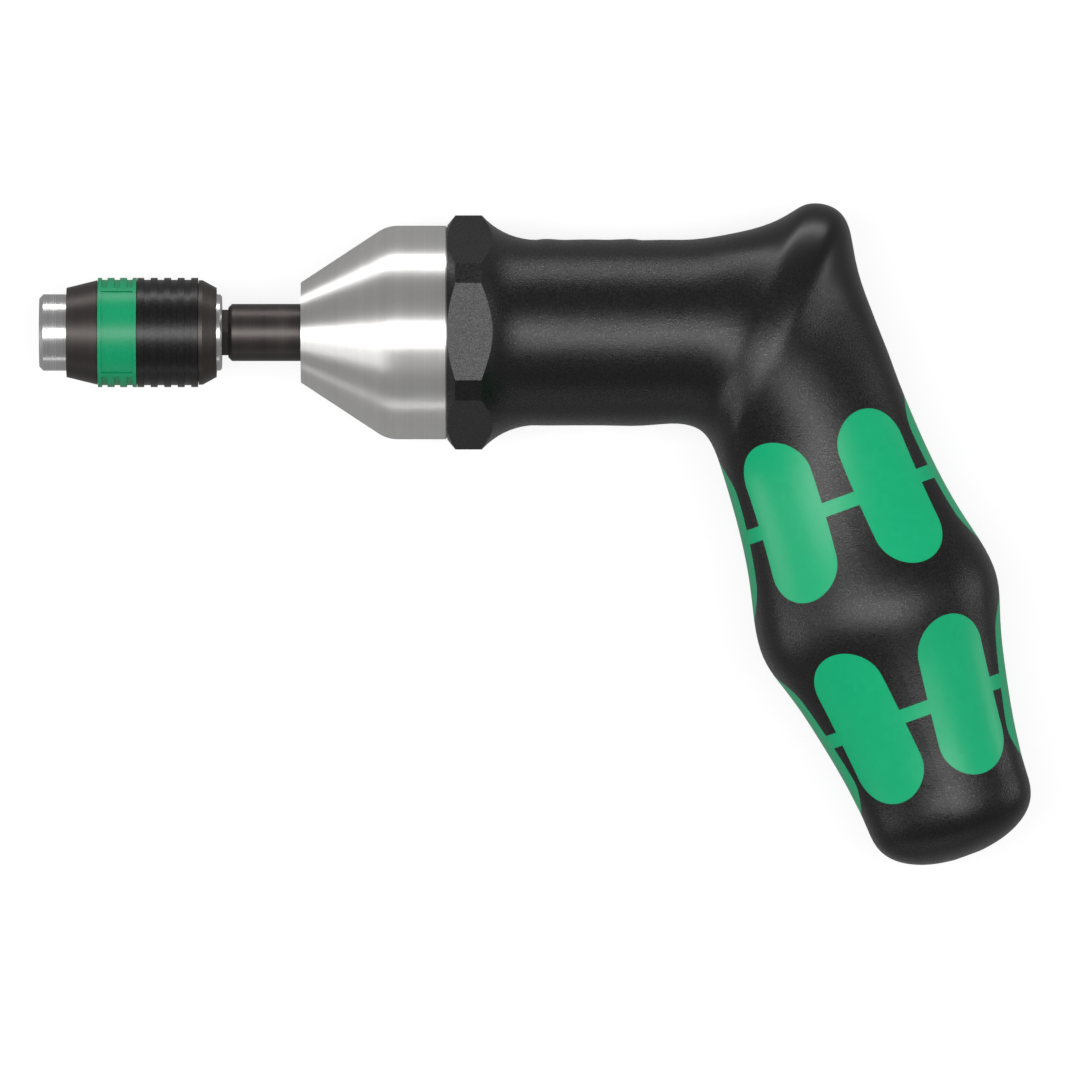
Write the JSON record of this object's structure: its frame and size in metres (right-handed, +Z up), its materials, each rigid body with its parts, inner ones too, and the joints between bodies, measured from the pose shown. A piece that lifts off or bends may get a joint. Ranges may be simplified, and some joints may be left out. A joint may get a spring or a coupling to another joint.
{
  "type": "torque screwdriver",
  "caption": "Pistol-grip torque screwdriver with a cam-over slipping clutch and a quick-release socket for 1/4 inch hexagon bits.",
  "frame": {"origin": "on the drive axis at the mouth of the bit socket", "axes": "+X back along the drive axis to the handle, +Y away from the grip, +Z up as the tool lies on its side"},
  "size_m": [0.1388, 0.0926, 0.03],
  "materials": {
    "handle_black": "grained",
    "pad_green": "satin",
    "band_green": "satin",
    "band_black": "matte",
    "nose_aluminium": "fine turned",
    "dark_steel": "burnished",
    "bright_steel": "ground",
    "ball_steel": "polished",
    "spring_steel": "drawn wire",
    "bearing_bronze": "turned",
    "cup_steel": "deep drawn"
  },
  "bodies": {
    "housing": {"handle": "handle_black", "upper_grip_pads": "pad_green", "lower_grip_pads": "pad_green", "nose_cone": "nose_aluminium", "front_bush": "bearing_bronze", "rear_bush": "bearing_bronze", "thrust_washer": "bright_steel", "clutch_cup": "cup_steel", "spindle_washer": "bright_steel", "torque_spring": "spring_steel"},
    "output": {"output_shaft": "dark_steel", "cam_disc": "bright_steel", "shaft_clip": "spring_steel", "chuck_body": "bright_steel", "chuck_snap_ring": "spring_steel", "sleeve_spring": "spring_steel", "ejector_spring": "spring_steel"},
    "ejector": {"ejector": "bright_steel"},
    "lock_ball": {"lock_ball": "ball_steel"},
    "release_ring": {"release_ring": "bright_steel"},
    "sleeve": {"sleeve_shell": "dark_steel", "sleeve_cap": "dark_steel", "colour_band": "band_green", "black_band": "band_black"},
    "pressure_plate": {"pressure_plate": "bright_steel", "clutch_balls": "ball_steel"},
    "preload_nut": {"preload_nut": "bright_steel"},
    "preload_spindle": {"preload_spindle": "bright_steel"}
  },
  "joints": [
    {"name": "clutch_slip", "type": "hinge", "parent": "housing", "child": "output", "pos_m": [0, 0, 0], "axis": [1, 0, 0], "continuous": true},
    {"name": "sleeve_release", "type": "slide", "parent": "output", "child": "release_ring", "axis": [-1, 0, 0], "range_m": [0, 0.0025], "stiffness_N_per_m": 2000, "springref_m": -0.002, "deforming": ["sleeve_spring"]},
    {"name": "sleeve_spin", "type": "hinge", "parent": "release_ring", "child": "sleeve", "pos_m": [0, 0, 0], "axis": [1, 0, 0], "continuous": true},
    {"name": "lock_ball_lift", "type": "slide", "parent": "output", "child": "lock_ball", "axis": [0, 1, 0], "range_m": [0, 0.0005]},
    {"name": "ejector_push", "type": "slide", "parent": "output", "child": "ejector", "axis": [1, 0, 0], "range_m": [0, 0.0035], "stiffness_N_per_m": 600, "springref_m": -0.001, "deforming": ["ejector_spring"]},
    {"name": "clutch_lift", "type": "slide", "parent": "housing", "child": "pressure_plate", "axis": [1, 0, 0], "range_m": [0, 0.0007], "stiffness_N_per_m": 50000, "springref_m": -0.003, "deforming": ["torque_spring"]},
    {"name": "preload_turn", "type": "hinge", "parent": "housing", "child": "preload_spindle", "pos_m": [0, 0, 0], "axis": [1, 0, 0], "range_deg": [-1080, 900]},
    {"name": "preload_travel", "type": "slide", "parent": "housing", "child": "preload_nut", "axis": [1, 0, 0], "range_m": [-0.003, 0.0025]}
  ],
  "couplings": [
    {"joint": "lock_ball_lift", "follows": "sleeve_release", "ratio": 0.2},
    {"joint": "preload_turn", "follows": "preload_travel", "rad_per_m": 6283.2}
  ]
}
